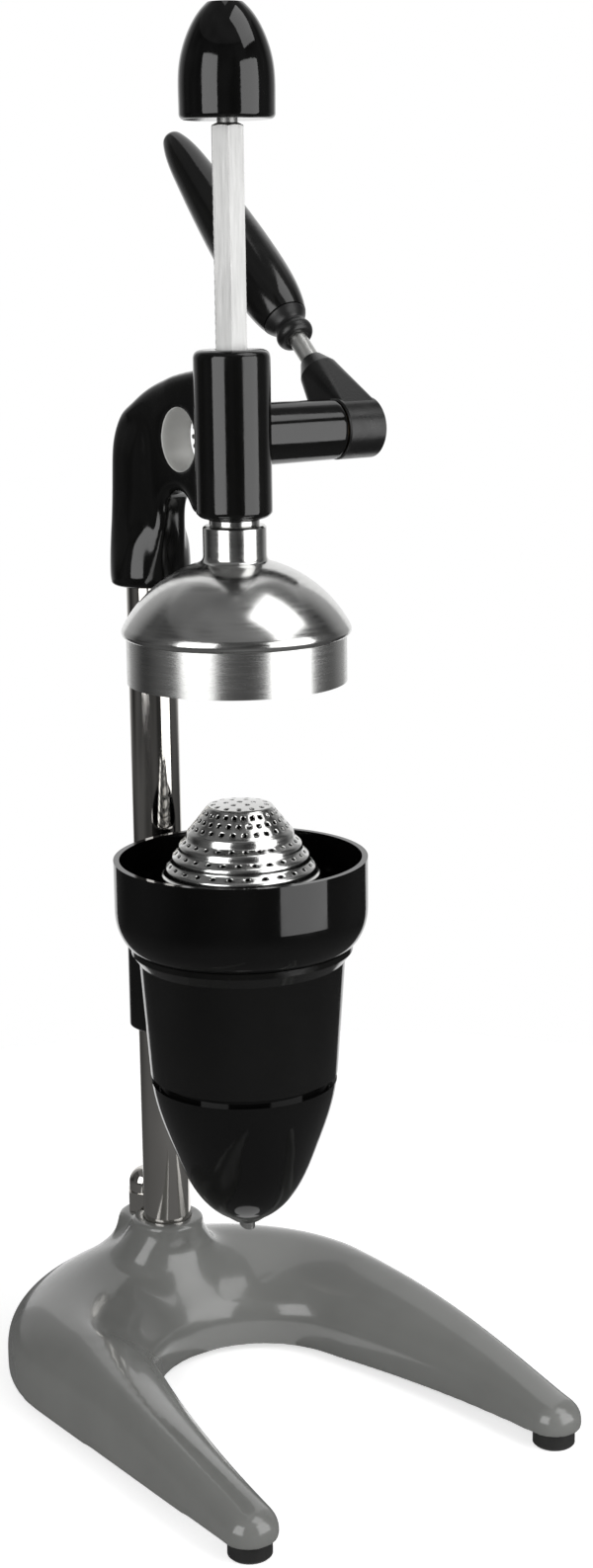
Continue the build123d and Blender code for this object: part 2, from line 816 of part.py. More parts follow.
def make_presser_dome():
    """Pressed sheet dome with a turned neck and a beaded rim, open below."""
    centre_z = neck_top_z - dome_centre_drop
    bead_z = neck_top_z - bead_drop
    inner = dome_radius - dome_wall
    skirt_inner = skirt_radius - dome_wall
    bead_low = bead_z - bead_height / 2
    start = dome_point(dome_radius, neck_radius + 3, centre_z)
    rim = dome_point(dome_radius, bead_radius - 0.6, centre_z)
    inside_rim = (skirt_inner, bead_low)
    inner_top = dome_point(inner, neck_radius - 2, centre_z)
    outer_arc = RadiusArc(start, rim, dome_radius)
    inner_arc = RadiusArc(inside_rim, inner_top, -inner)
    neck_low = neck_top_z - neck_length
    edges = [
        Line((0, neck_top_z), (neck_radius - 1, neck_top_z)),
        Line((neck_radius - 1, neck_top_z), (neck_radius, neck_top_z - 1)),
        Line((neck_radius, neck_top_z - 1), (neck_radius, start[1] + 4)),
        Spline((neck_radius, start[1] + 4), start, tangents=[(0, -1), (1, -0.3)]),
        outer_arc,
        Spline(rim, (bead_radius, bead_z), (skirt_radius, bead_low)),
        Line((skirt_radius, bead_low), inside_rim),
        inner_arc,
        Line(inner_top, (neck_radius - 2, neck_low)),
        Line((neck_radius - 2, neck_low), (0, neck_low)),
        Line((0, neck_low), (0, neck_top_z)),
    ]
    body = turned(edges)
    spigot_low = neck_top_z + stop_washer_thickness - ram_spigot_length
    body -= rod(ram_spigot_radius + running, spigot_low, neck_top_z + 1)
    return body - rod(presser_screw_radius + running, neck_low - 1, neck_top_z)


def make_presser_skirt():
    """Straight band that butts up under the bead of the dome."""
    top = neck_top_z - bead_drop - bead_height / 2
    bottom = neck_top_z - skirt_bottom_drop
    return ring(skirt_radius, skirt_radius - dome_wall, bottom, top)


def make_presser_screw():
    seat = neck_top_z - neck_length
    screw = rod(presser_head_radius, seat - presser_head_height, seat)
    screw += rod(presser_screw_radius, seat, seat + presser_screw_length)
    return screw - hex_bar(5, seat - presser_head_height - 1, seat - presser_head_height + 2.5)


# ---- lever ----
def lever_rod_solid(radius, start, end):
    """Cylinder along the lever between two distances from the pinion axis."""
    return lever_frame * rod(radius, start, end)


def make_lever_hub():
    """Disc on the shaft, narrowing along the lever to a round boss for the rod."""
    disc = Rot(0, 90, 0) * Cylinder(lever_hub_radius, lever_hub_thickness)
    disc = chamfer(disc.edges().filter_by(GeomType.CIRCLE), lever_edge_round / 2)
    round_side = 2 * lever_boss_radius
    corner = lever_boss_radius - 0.1
    foot = RectangleRounded(lever_hub_thickness - 0.2, 2 * lever_hub_radius - 0.2, lever_edge_round)
    foot = Pos(lever_hub_shift, 0, 0) * foot
    top = Pos(0, 0, lever_boss_start) * RectangleRounded(round_side, round_side, corner)
    neck = loft([foot, top], ruled=True)
    nose = turned_points(
        [
            (0, lever_boss_start - 2),
            (lever_boss_radius - 1, lever_boss_start - 2),
            (lever_boss_radius, lever_boss_start),
            (lever_boss_end_radius, lever_boss_end),
            (0, lever_boss_end),
        ]
    )
    body = lever_frame * (Pos(lever_hub_shift, 0, 0) * disc + neck + nose)
    depth = lever_hub_thickness - shaft_end_cover
    body -= along_x(rod(shaft_radius + running, -1, depth), lever_inner_x)
    body -= lever_rod_solid(rod_radius + running, rod_start, lever_boss_end + 1)
    return body - behind_lever(lever_screw_radius + running, 0, lever_hub_radius + 3)


def behind_lever(radius, near, far):
    """Cylinder square to the lever on its rear, from the pinion axis."""
    body = Cylinder(radius, far - near, align=(Align.CENTER, Align.CENTER, Align.MIN))
    return lever_frame * Pos(lever_hub_shift, 0, 0) * Rot(-90, 0, 0) * Pos(0, 0, near) * body


def make_lever_set_screw():
    near = shaft_radius + running
    return behind_lever(lever_screw_radius, near, near + lever_screw_length)


def make_thrust_washer():
    washer = ring(thrust_washer_radius, shaft_radius + running, 0, thrust_washer_thickness)
    return along_x(washer, lever_inner_x - thrust_washer_thickness)


def make_lever_rod():
    return lever_rod_solid(rod_radius, rod_start, rod_end)


def make_grip_collar():
    """Tapered collar ahead of the grip."""
    side = Spline(
        (collar_small_radius, collar_start),
        (grip_start_radius, collar_end),
        tangents=[(0.1, 1), (0.35, 1)],
    )
    edges = [
        Line((0, collar_start), (collar_small_radius, collar_start)),
        side,
        Line((grip_start_radius, collar_end), (0, collar_end)),
        Line((0, collar_end), (0, collar_start)),
    ]
    return lever_frame * (turned(edges) - rod(rod_radius + running, 0, collar_end + 1))


def make_lever_grip():
    """Swelling grip with a round end."""
    end_z = lever_length - grip_tip_radius
    lift = grip_tip_radius * math.sin(math.radians(20))
    end = (grip_tip_radius * math.cos(math.radians(20)), end_z + lift)
    side = Spline(
        (grip_start_radius, collar_end),
        (grip_belly_radius, grip_belly),
        (grip_shoulder_radius, grip_shoulder),
        end,
        tangents=[(0.35, 1), (-0.37, 1)],
    )
    edges = [
        Line((0, collar_end), (grip_start_radius, collar_end)),
        side,
        CenterArc((0, end_z), grip_tip_radius, 20, 70),
        Line((0, lever_length), (0, collar_end)),
    ]
    return lever_frame * (turned(edges) - rod(rod_radius + running, 0, rod_end))


# ---- bowl bracket ----
def body_inner_radius(z):
    """Inside radius of the tapered bracket body at a height."""
    top = bracket_top_z - flange_height
    share = (z - body_bottom_z) / (top - body_bottom_z)
    return blend(body_bottom_radius, body_top_radius, share) - body_wall


def make_bowl_bracket():
    """Tapered ring with a flange, carried by a sleeve on the column."""
    flange_low = bracket_top_z - flange_height
    rim_low = bracket_top_z - flange_rim_height
    body = turned_points(
        [
            (0, body_bottom_z),
            (body_bottom_radius, body_bottom_z),
            (body_top_radius, flange_low),
            (flange_radius, rim_low),
            (flange_radius, bracket_top_z),
            (0, bracket_top_z),
        ]
    )
    sleeve = rod(lower_sleeve_radius, lower_sleeve_bottom_z, bracket_top_z, 0, column_y)
    sleeve = fillet(sleeve.edges().filter_by(GeomType.CIRCLE), 1.5)
    web_height = flange_low - bracket_web_bottom_z
    web = Box(
        bracket_web_thickness,
        column_y,
        web_height,
        align=(Align.CENTER, Align.MIN, Align.MIN),
    )
    body += Pos(0, 0, bracket_web_bottom_z) * web
    body += sleeve
    body -= turned_points(
        [
            (0, body_bottom_z - 1),
            (body_inner_radius(body_bottom_z), body_bottom_z - 1),
            (body_inner_radius(body_bottom_z), body_bottom_z),
            (body_inner_radius(flange_low), flange_low),
            (body_inner_radius(flange_low), bracket_top_z + 1),
            (0, bracket_top_z + 1),
        ]
    )
    body -= rod(column_radius + running, 0, bracket_top_z + 1, 0, column_y)
    hole = behind_column(set_screw_radius + running, 0, lower_sleeve_radius + 5, bracket_screw_z)
    return body - hole


def make_bracket_set_screw():
    near = column_radius + running
    far = lower_sleeve_radius - running
    return behind_column(set_screw_radius, near, far, bracket_screw_z)


# ---- funnel, lower cone and spout ----
def make_lower_cone():
    """Bullet-shaped cover under the bracket."""
    radius = body_inner_radius(body_bottom_z) - running
    top = cone_top_z + cone_gap + cone_spigot_length
    belly_z = cone_top_z - cone_belly_drop
    side = Spline(
        (cone_tip_radius, cone_bottom_z + 3),
        (cone_belly_radius, belly_z),
        (cone_top_radius, cone_top_z),
        tangents=[(1, 0.55), (0.12, 1)],
    )
    edges = [
        Line((0, cone_bottom_z), (cone_tip_radius - 4, cone_bottom_z)),
        Line((cone_tip_radius - 4, cone_bottom_z), (cone_tip_radius, cone_bottom_z + 3)),
        side,
        Line((cone_top_radius, cone_top_z), (radius, cone_top_z)),
        Line((radius, cone_top_z), (radius, top)),
        Line((radius, top), (0, top)),
        Line((0, top), (0, cone_bottom_z)),
    ]
    hollow_low = cone_bottom_z + 3 * cone_wall
    hollow_side = Spline(
        (cone_tip_radius, hollow_low),
        (cone_belly_radius - cone_wall, belly_z),
        (radius - cone_wall, cone_top_z),
        tangents=[(1, 0.8), (0.12, 1)],
    )
    hollow = [
        Line((0, hollow_low), (cone_tip_radius, hollow_low)),
        hollow_side,
        Line((radius - cone_wall, cone_top_z), (radius - cone_wall, top + 1)),
        Line((radius - cone_wall, top + 1), (0, top + 1)),
        Line((0, top + 1), (0, hollow_low)),
    ]
    body = turned(edges) - turned(hollow)
    return body - rod(spout_radius + running, 0, cone_top_z)


def make_spout_tube():
    """Outlet tube with its lower end cut on the slant."""
    tube = ring(spout_radius, spout_bore_radius, spout_tip_z, spout_top_z)
    cutter = Box(30, 30, 20, align=(Align.CENTER, Align.CENTER, Align.MAX))
    return tube - Pos(0, 0, spout_tip_z + spout_radius * 0.5) * Rot(25, 0, 0) * cutter


def make_juice_funnel():
    """Sheet cone that leads the juice to the spout."""
    rim_z = bracket_top_z - funnel_rim_drop
    outer = body_inner_radius(rim_z) - seat_gap
    inner = outer - 1.5 * funnel_wall
    low = cone_bottom_z + 3 * cone_wall
    outlet = funnel_outlet_radius
    bore = spout_radius + running
    return turned_points(
        [
            (bore, low),
            (outlet, low),
            (outlet + 0.5, low + 2),
            (outer, rim_z - 1),
            (outer, rim_z),
            (inner, rim_z),
            (bore, low + 2),
        ]
    )


# ---- bowl and strainer ----
def make_bowl():
    """Bowl with an upright side, rounding in to its foot and open in the middle."""
    low = bracket_top_z
    side = Spline(
        (bowl_foot_radius, low),
        (bowl_foot_radius + 5, low + 5.5),
        (bowl_radius, bowl_side_z),
        tangents=[(1, 0.6), (0, 1)],
    )
    inner_radius = bowl_radius - bowl_wall
    floor_z = low + bowl_wall
    inside = Spline(
        (inner_radius, bowl_side_z),
        (bowl_foot_radius, floor_z),
        tangents=[(0, -1), (-1, -0.1)],
    )
    spigot = body_inner_radius(bracket_top_z - flange_height) - running
    spigot_low = low - bowl_spigot_length
    edges = [
        Line((spigot, low), (bowl_foot_radius, low)),
        side,
        Line((bowl_radius, bowl_side_z), (bowl_radius, bowl_rim_z)),
        Line((bowl_radius, bowl_rim_z), (inner_radius, bowl_rim_z)),
        Line((inner_radius, bowl_rim_z), (inner_radius, bowl_side_z)),
        inside,
        Line((bowl_foot_radius, floor_z), (drain_radius, floor_z)),
        Line((drain_radius, floor_z), (drain_radius, low)),
        Line((drain_radius, low), (spigot - bowl_wall, low)),
        Line((spigot - bowl_wall, low), (spigot - bowl_wall, spigot_low)),
        Line((spigot - bowl_wall, spigot_low), (spigot, spigot_low)),
        Line((spigot, spigot_low), (spigot, low)),
    ]
    return turned(edges)


def strainer_outline(shrink, low):
    """Outline of the stepped cone, drawn in by a wall thickness."""
    points = [(0, strainer_top_z + 2 - shrink)]
    points.append((strainer_top_radius - shrink, strainer_top_z - shrink))
    points.append((strainer_cone_radius - shrink, strainer_cone_z - shrink))
    z = strainer_cone_z - shrink
    for radius in strainer_step_radii:
        points.append((radius - shrink, z - 1))
        z -= strainer_step_height
        points.append((radius - shrink, z))
    points.append((strainer_skirt_radius - shrink, z - 1))
    points.append((strainer_skirt_radius - shrink, low))
    points.append((0, low))
    return points


def make_strainer():
    """Perforated stepped cone standing on the floor of the bowl."""
    floor_z = bracket_top_z + bowl_wall
    body = turned_points(strainer_outline(0, floor_z))
    body += rod(strainer_lip_radius, floor_z, floor_z + strainer_wall)
    body -= turned_points(strainer_outline(strainer_wall, floor_z - 1))
    slope = math.degrees(
        math.atan2(strainer_top_z - strainer_cone_z, strainer_cone_radius - strainer_top_radius)
    )
    for row in range(3):
        share = (row + 1) / 4
        radius = blend(strainer_top_radius, strainer_cone_radius, share)
        z = blend(strainer_top_z, strainer_cone_z, share)
        punch = extrude(RegularPolygon(strainer_hole_radius, 6), 3 * strainer_wall, both=True)
        hole = Pos(radius, 0, z) * Rot(0, 90 - slope, 0) * punch
        turn = 360 / strainer_holes_round
        holes = [
            Rot(0, 0, turn * (index + row / 2)) * hole for index in range(strainer_holes_round)
        ]
        body -= holes
    return body


def all_nodes():
    """Every node with the function that makes it."""
    return {
        "base_casting": make_base_casting(),
        "front_feet": make_feet(front_feet_places()),
        "rear_feet": make_feet(rear_feet_places()),
        "foot_screws": make_foot_screws(),
        "column_tube": make_column_tube(),
        "column_plug": make_column_plug(),
        "column_bolt": make_column_bolt(),
        "column_washer": make_column_washer(),
        "cotter_bolt": make_cotter_bolt(),
        "cotter_washer": make_cotter_washer(),
        "acorn_nut": make_acorn_nut(),
        "upper_arm": make_upper_arm(),
        "arm_set_screws": make_arm_set_screws(),
        "shaft_bushes": make_shaft_bushes(),
        "brake_plug": make_brake_plug(),
        "brake_screw": make_brake_screw(),
        "bowl_bracket": make_bowl_bracket(),
        "bracket_set_screw": make_bracket_set_screw(),
        "bowl": make_bowl(),
        "strainer": make_strainer(),
        "juice_funnel": make_juice_funnel(),
        "lower_cone": make_lower_cone(),
        "spout_tube": make_spout_tube(),
        "rack_ram": make_rack_ram(),
        "ram_cap": make_ram_cap(),
        "stop_washer": make_stop_washer(),
        "presser_dome": make_presser_dome(),
        "presser_skirt": make_presser_skirt(),
        "presser_screw": make_presser_screw(),
        "pinion_shaft": make_pinion_shaft(),
        "thrust_washer": make_thrust_washer(),
        "lever_hub": make_lever_hub(),
        "lever_set_screw": make_lever_set_screw(),
        "lever_rod": make_lever_rod(),
        "grip_collar": make_grip_collar(),
        "lever_grip": make_lever_grip(),
    }


def main():
    os.makedirs("parts", exist_ok=True)
    for name, shape in all_nodes().items():
        export_step(shape, f"parts/{name}.step")
        print(name, len(shape.solids()), round(shape.volume))


main()
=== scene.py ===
import json
import math

import bmesh
import bpy
from mathutils import Matrix, Vector


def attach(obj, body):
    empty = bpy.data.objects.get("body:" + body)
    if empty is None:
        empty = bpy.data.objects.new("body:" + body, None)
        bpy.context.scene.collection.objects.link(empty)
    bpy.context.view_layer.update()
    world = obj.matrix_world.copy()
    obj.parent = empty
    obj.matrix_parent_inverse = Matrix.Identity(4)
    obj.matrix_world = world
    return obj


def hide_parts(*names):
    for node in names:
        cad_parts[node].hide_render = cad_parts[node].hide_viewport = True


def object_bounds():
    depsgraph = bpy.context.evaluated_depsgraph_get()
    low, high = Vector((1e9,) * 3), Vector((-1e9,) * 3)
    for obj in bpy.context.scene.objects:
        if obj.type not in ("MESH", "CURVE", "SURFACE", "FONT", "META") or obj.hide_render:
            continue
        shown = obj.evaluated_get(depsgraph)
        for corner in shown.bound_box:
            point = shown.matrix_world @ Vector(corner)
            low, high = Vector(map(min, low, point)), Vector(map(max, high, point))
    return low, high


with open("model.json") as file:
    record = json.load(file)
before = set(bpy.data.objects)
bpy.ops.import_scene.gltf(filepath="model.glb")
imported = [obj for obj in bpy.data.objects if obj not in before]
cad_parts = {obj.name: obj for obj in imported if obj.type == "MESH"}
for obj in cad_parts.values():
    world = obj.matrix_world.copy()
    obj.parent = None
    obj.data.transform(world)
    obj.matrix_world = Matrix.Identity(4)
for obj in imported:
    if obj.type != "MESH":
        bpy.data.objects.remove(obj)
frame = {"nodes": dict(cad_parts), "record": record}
NODES = frame["nodes"]
cad_low, cad_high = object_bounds()
bpy.context.scene.view_settings.view_transform = "Standard"

MM = 0.001
WHITE = (1, 1, 1, 1)


# ---------------------------------------------------------------- nodes of materials

def new_material(name):
    """A node material, its tree and its Principled shader."""
    material = bpy.data.materials.new(name)
    material.use_nodes = True
    tree = material.node_tree
    return material, tree, tree.nodes["Principled BSDF"]


def add(tree, kind, **inputs):
    """A new node with values set on the inputs that are named."""
    node = tree.nodes.new(kind)
    for key, value in inputs.items():
        node.inputs[key.replace("_", " ")].default_value = value
    return node


def combined(tree, operation, first, second):
    """The result of a Math node: first is another node's output, second that or a number."""
    node = tree.nodes.new("ShaderNodeMath")
    node.operation = operation
    tree.links.new(first, node.inputs[0])
    if isinstance(second, float):
        node.inputs[1].default_value = second
    else:
        tree.links.new(second, node.inputs[1])
    return node.outputs[0]


def object_noise(tree, scale, detail=4.0, roughness=0.5, stretch=(1, 1, 1)):
    """Noise over the object's own coordinates, in metres, pulled out along an axis by stretch."""
    coordinates = tree.nodes.new("ShaderNodeTexCoord")
    mapping = tree.nodes.new("ShaderNodeMapping")
    mapping.inputs["Scale"].default_value = stretch
    noise = add(tree, "ShaderNodeTexNoise", Scale=scale, Detail=detail, Roughness=roughness)
    tree.links.new(coordinates.outputs["Object"], mapping.inputs["Vector"])
    tree.links.new(mapping.outputs["Vector"], noise.inputs["Vector"])
    return noise.outputs["Fac"]


def spread(tree, value, low, high, start=0.35, end=0.65):
    """A value mapped from start..end, by default the middle of a noise, onto low..high."""
    node = tree.nodes.new("ShaderNodeMapRange")
    for key, number in zip(("From Min", "From Max", "To Min", "To Max"), (start, end, low, high)):
        node.inputs[key].default_value = number
    tree.links.new(value, node.inputs["Value"])
    return node.outputs["Result"]


def mixed_colour(tree, value, first, second):
    """The first colour where the value is 0 and the second where it is 1."""
    node = tree.nodes.new("ShaderNodeMix")
    node.data_type = "RGBA"
    node.inputs["A"].default_value = (*first, 1)
    node.inputs["B"].default_value = (*second, 1)
    tree.links.new(value, node.inputs["Factor"])
    return node.outputs["Result"]


def bumped(tree, shader, value, depth):
    """Relief on a shader, depth metres high between the values 0 and 1."""
    node = add(tree, "ShaderNodeBump", Strength=1.0, Distance=depth)
    tree.links.new(value, node.inputs["Height"])
    tree.links.new(node.outputs["Normal"], shader.inputs["Normal"])


# ---------------------------------------------------------------- materials

DRIFT_PAINT, DRIFT_METAL = 18.0, 22.0    # noise scales of the slow change of colour
WEAR = 65.0                              # noise scale of the change of gloss on paint
COAT_ROUGHNESS = 0.04


def painted(name, dark, light, rough, peel, peel_scale, coat=0.0, specular=0.5):
    """Paint or moulded plastic: a colour that drifts slightly from dark to light, a roughness
    that varies in a range, and an orange peel with its depth in metres and its noise scale."""
    material, tree, shader = new_material(name)
    drift = spread(tree, object_noise(tree, DRIFT_PAINT), 0.0, 1.0)
    tree.links.new(mixed_colour(tree, drift, dark, light), shader.inputs["Base Color"])
    wear = object_noise(tree, WEAR, 6.0, 0.6)
    tree.links.new(spread(tree, wear, *rough), shader.inputs["Roughness"])
    bumped(tree, shader, object_noise(tree, peel_scale, 2.0), peel)
    shader.inputs["Coat Weight"].default_value = coat
    shader.inputs["Coat Roughness"].default_value = COAT_ROUGHNESS
    shader.inputs["Specular IOR Level"].default_value = specular
    return material


def metal(name, dark, light, rough, scale, stretch, depth):
    """Bare or plated metal: a colour that drifts from dark to light, and polish or brush marks,
    as a noise of a scale and stretch, in the roughness and in a relief depth metres high."""
    material, tree, shader = new_material(name)
    shader.inputs["Metallic"].default_value = 1.0
    drift = spread(tree, object_noise(tree, DRIFT_METAL), 0.0, 1.0)
    tree.links.new(mixed_colour(tree, drift, dark, light), shader.inputs["Base Color"])
    marks = object_noise(tree, scale, 5.0, 0.6, stretch)
    tree.links.new(spread(tree, marks, *rough), shader.inputs["Roughness"])
    bumped(tree, shader, marks, depth)
    return material


# by material slot; the last two are looks of single pieces whose slot has another look
MATERIALS = {
    "base_enamel": painted("grey_enamel", (0.158, 0.160, 0.153), (0.176, 0.179, 0.171),
                           (0.16, 0.26), 0.00002, 260.0, 0.35),
    "black_enamel": painted("black_enamel", (0.0024, 0.0024, 0.0023), (0.0038, 0.0038, 0.0036),
                            (0.07, 0.15), 0.00003, 190.0),
    "lever_paint": painted("lever_paint", (0.004, 0.004, 0.004), (0.007, 0.007, 0.007),
                           (0.26, 0.38), 0.00006, 700.0),
    "black_plastic": painted("black_plastic", (0.0018, 0.0018, 0.0018), (0.0028, 0.0028, 0.0027),
                             (0.05, 0.10), 0.000015, 120.0, specular=0.4),
    "cap_plastic": painted("cap_plastic", (0.0018, 0.0018, 0.0018), (0.0028, 0.0028, 0.0027),
                           (0.05, 0.10), 0.000015, 120.0),
    "grip_plastic": painted("grip_plastic", (0.003, 0.003, 0.003), (0.005, 0.005, 0.0047),
                            (0.12, 0.2), 0.00002, 240.0),
    "grip_collar": painted("grip_collar", (0.006, 0.006, 0.006), (0.009, 0.009, 0.009),
                           (0.3, 0.42), 0.00003, 500.0),
    "foot_rubber": painted("foot_rubber", (0.010, 0.010, 0.010), (0.017, 0.017, 0.016),
                           (0.55, 0.75), 0.00005, 900.0),
    "white_nylon": painted("white_nylon", (0.70, 0.70, 0.66), (0.76, 0.76, 0.72),
                           (0.4, 0.5), 0.00002, 500.0),
    "chrome": metal("chrome", (0.62, 0.60, 0.57), (0.68, 0.66, 0.63), (0.05, 0.09),
                    300.0, (1, 1, 0.3), 0.000004),
    "brushed_steel": metal("brushed_stainless", (0.60, 0.60, 0.59), (0.68, 0.68, 0.67),
                           (0.23, 0.28), 1500.0, (0.03, 0.03, 1.0), 0.0000008),
    "stainless": metal("polished_stainless", (0.62, 0.62, 0.61), (0.68, 0.68, 0.67),
                       (0.14, 0.22), 900.0, (0.05, 0.05, 1.0), 0.000008),
    "ram_steel": metal("ram_steel", (0.40, 0.40, 0.395), (0.45, 0.45, 0.445), (0.42, 0.52),
                       1200.0, (1.0, 1.0, 0.04), 0.000012),
    "gear_steel": metal("gear_steel", (0.42, 0.41, 0.39), (0.5, 0.49, 0.47), (0.26, 0.38),
                        900.0, (1.0, 1.0, 1.0), 0.00001),
    "zinc_steel": metal("zinc_steel", (0.56, 0.57, 0.58), (0.64, 0.65, 0.66), (0.2, 0.34),
                        500.0, (1, 1, 1), 0.00001),
    "bronze": metal("bronze", (0.10, 0.07, 0.04), (0.15, 0.11, 0.06), (0.30, 0.42),
                    800.0, (0.1, 1, 1), 0.00001),
    "bare_casting": painted("bare_casting", (0.50, 0.50, 0.48), (0.58, 0.58, 0.56),
                            (0.34, 0.44), 0.000004, 900.0),
    "lever_steel": metal("lever_steel", (0.66, 0.66, 0.64), (0.74, 0.74, 0.72), (0.30, 0.42),
                         600.0, (1.0, 0.2, 0.2), 0.000006),
}

for part in frame["record"]["subparts"]:
    node = NODES[part["node"]]
    node.data.materials.clear()
    node.data.materials.append(MATERIALS[part["material_slot"]])
NODES["lever_rod"].data.materials[0] = MATERIALS["lever_steel"]


# ---------------------------------------------------------------- making pieces

def from_net(name, net):
    """An object of the scene with a bmesh as its mesh."""
    mesh = bpy.data.meshes.new(name)
    net.to_mesh(mesh)
    net.free()
    piece = bpy.data.objects.new(name, mesh)
    bpy.context.scene.collection.objects.link(piece)
    return piece


def skin(net, here, there, closed=True):
    """Quads between two rows of vertices, also from the last back to the first if closed."""
    for k in range(len(here) if closed else len(here) - 1):
        j = (k + 1) % len(here)
        net.faces.new((here[k], there[k], there[j], here[j]))


def applied(piece):
    """Bake a piece's modifiers into its mesh."""
    depsgraph = bpy.context.evaluated_depsgraph_get()
    mesh = bpy.data.meshes.new_from_object(piece.evaluated_get(depsgraph))
    piece.modifiers.clear()
    piece.data = mesh


def place(piece, body, slot, *nodes):
    """Give a piece its slot's material, its body and the CAD nodes that it stands for."""
    for polygon in piece.data.polygons:
        polygon.use_smooth = True
    piece.data.materials.clear()
    piece.data.materials.append(MATERIALS[slot])
    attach(piece, body)
    if nodes:
        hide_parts(*nodes)


def ease(value, low, high):
    """0 below low, 1 above high and a smooth rise between."""
    share = min(max((value - low) / (high - low), 0.0), 1.0)
    return share * share * (3 - 2 * share)


def level_rim(x, y):
    """No rise: for castings whose rims are level."""
    return 0.0


def smoothed_copy(node_name, piece_name, voxel, passes, keep, reshape, rim=level_rim):
    """A copy of a CAD node with its creases melted together as in a casting.
    keep(point) is how far a vertex may follow the smoothing, from 0 for machined faces to 1.
    reshape(point, normal) moves a vertex before that.
    rim(x, y) is the rise of a sloping rim, laid level while the mesh is rebuilt from voxels."""
    piece = bpy.data.objects.new(piece_name, NODES[node_name].data.copy())
    bpy.context.scene.collection.objects.link(piece)
    for vertex in piece.data.vertices:
        vertex.co.z -= rim(vertex.co.x, vertex.co.y)
    remesh = piece.modifiers.new("remesh", "REMESH")
    remesh.mode = "VOXEL"
    remesh.voxel_size = voxel
    applied(piece)
    for vertex in piece.data.vertices:
        vertex.co.z += rim(vertex.co.x, vertex.co.y)
    snap = piece.modifiers.new("snap", "SHRINKWRAP")
    snap.wrap_method = "NEAREST_SURFACEPOINT"
    snap.target = NODES[node_name]
    applied(piece)
    group = piece.vertex_groups.new(name="cast")
    moved = []
    for vertex in piece.data.vertices:
        group.add([vertex.index], keep(vertex.co), "REPLACE")
        moved.append(reshape(vertex.co.copy(), vertex.normal))
    for vertex, point in zip(piece.data.vertices, moved):
        vertex.co = point
    smooth = piece.modifiers.new("smooth", "SMOOTH")
    smooth.factor = 0.5
    smooth.iterations = passes
    smooth.vertex_group = group.name
    applied(piece)
    return piece


# ---------------------------------------------------------------- base casting

COLUMN_Y, COLUMN_BORE = 81.9 * MM, 15.5 * MM    # the bore with the machined face round it
COTTER_Y, COTTER_BORE = 104.9 * MM, 8 * MM
SADDLE_Y, BACK_Y = 66 * MM, 50 * MM             # middles of the saddle and of the round back

BELL_TOP, BELL_DEPTH = 69 * MM, 24 * MM         # where the swelling starts and is full, below
BELL_RISE, BELL_RADIUS, BELL_FALL = 17 * MM, 20 * MM, 11 * MM

# sides of a leg's underside, in mm: x and y at the shoulder, and the way from there to the tip
INNER_X, INNER_SPREAD, INNER_Y, INNER_LENGTH = 53.6, 25.3, -1.4, 141.9
OUTER_X, OUTER_SPREAD, OUTER_Y, OUTER_LENGTH = 110.0, -2.7, 40.6, 178.9
LEG_RISE = 5.5


def base_keep(point):
    """The crown flows into the saddle and the creases melt; bores and seats stay."""
    x, y, z = point
    from_column = math.hypot(x, y - COLUMN_Y)
    from_cotter = math.hypot(x, y - COTTER_Y)
    if from_column < COLUMN_BORE or from_cotter < COTTER_BORE:
        return 0.0
    near_top = 1 - ease(z, 64 * MM, 70 * MM) * (1 - ease(from_column, 19 * MM, 26 * MM))
    near_seat = 1 - ease(from_cotter, 11 * MM, 15 * MM)
    near_cotter_top = 1 - 0.9 * ease(z, 50 * MM, 55 * MM) * near_seat
    saddle = 1 - ease(math.hypot(x, y - SADDLE_Y), 30 * MM, 70 * MM)
    crease = 0.4 * (1 - ease(math.hypot(x, y - BACK_Y), 70 * MM, 110 * MM))
    above_rim = ease(z, 10 * MM, 24 * MM)
    leg = 0.34 + 0.22 * ease(z, 8 * MM, 22 * MM)
    return max(leg, max(0.7 * saddle, crease) * above_rim) * near_top * near_cotter_top


def base_reshape(point, normal):
    """Raise the saddle round the crown, so that it falls away like the bell of a trumpet."""
    x, y, z = point
    from_column = math.hypot(x, y - COLUMN_Y)
    if from_column < 16 * MM or z < 22 * MM or normal.z < -0.3:
        return point
    swell = BELL_RISE * math.exp(-max(from_column - BELL_RADIUS, 0) / BELL_FALL)
    front = 1 - 0.25 * ease(COLUMN_Y - y, 10 * MM, 35 * MM)
    share = min(max((BELL_TOP - z) / BELL_DEPTH, 0.0), 1.0)
    return Vector((x, y, z + swell * front * share))


def base_rim(x, y):
    """The underside is level round the back and rises along each leg to its foot.
    The share of a leg's length at a point comes from a few rounds of approximation."""
    share = 0.5
    for _ in range(6):
        inner, outer = INNER_X + INNER_SPREAD * share, OUTER_X + OUTER_SPREAD * share
        across = (abs(x) / MM - inner) / (outer - inner)
        shoulder = INNER_Y + (OUTER_Y - INNER_Y) * across
        share = (shoulder - y / MM) / (INNER_LENGTH + (OUTER_LENGTH - INNER_LENGTH) * across)
    return LEG_RISE * MM * min(max(share, 0.0), 1.0)


base = smoothed_copy("base_casting", "base_casting_cast", 1.4 * MM, 110, base_keep, base_reshape,
                     base_rim)
place(base, "frame", "base_enamel", "base_casting")


# ---------------------------------------------------------------- upper arm

HOLE_Y, HOLE_Z, HOLE_RADIUS = 37.2 * MM, 504.5 * MM, 16.0 * MM
PINION_Y, PINION_Z, PINION_POCKET = 17.55 * MM, 506.4 * MM, 12.85 * MM
BARREL_BORE, BARREL_RADIUS = 12 * MM, 19.6 * MM
HOUSING_X = 19.5 * MM
WEB_HALF_WIDTH = 9.0

# height and half width of the sleeve, in mm
SLEEVE_HALF_WIDTHS = ((430, 21.3), (439, 20.6), (450, 18.0), (462, 15.7), (476, 14.8), (499, 14.4),
                      (507, 12.4), (516, 10.0), (524, WEB_HALF_WIDTH))


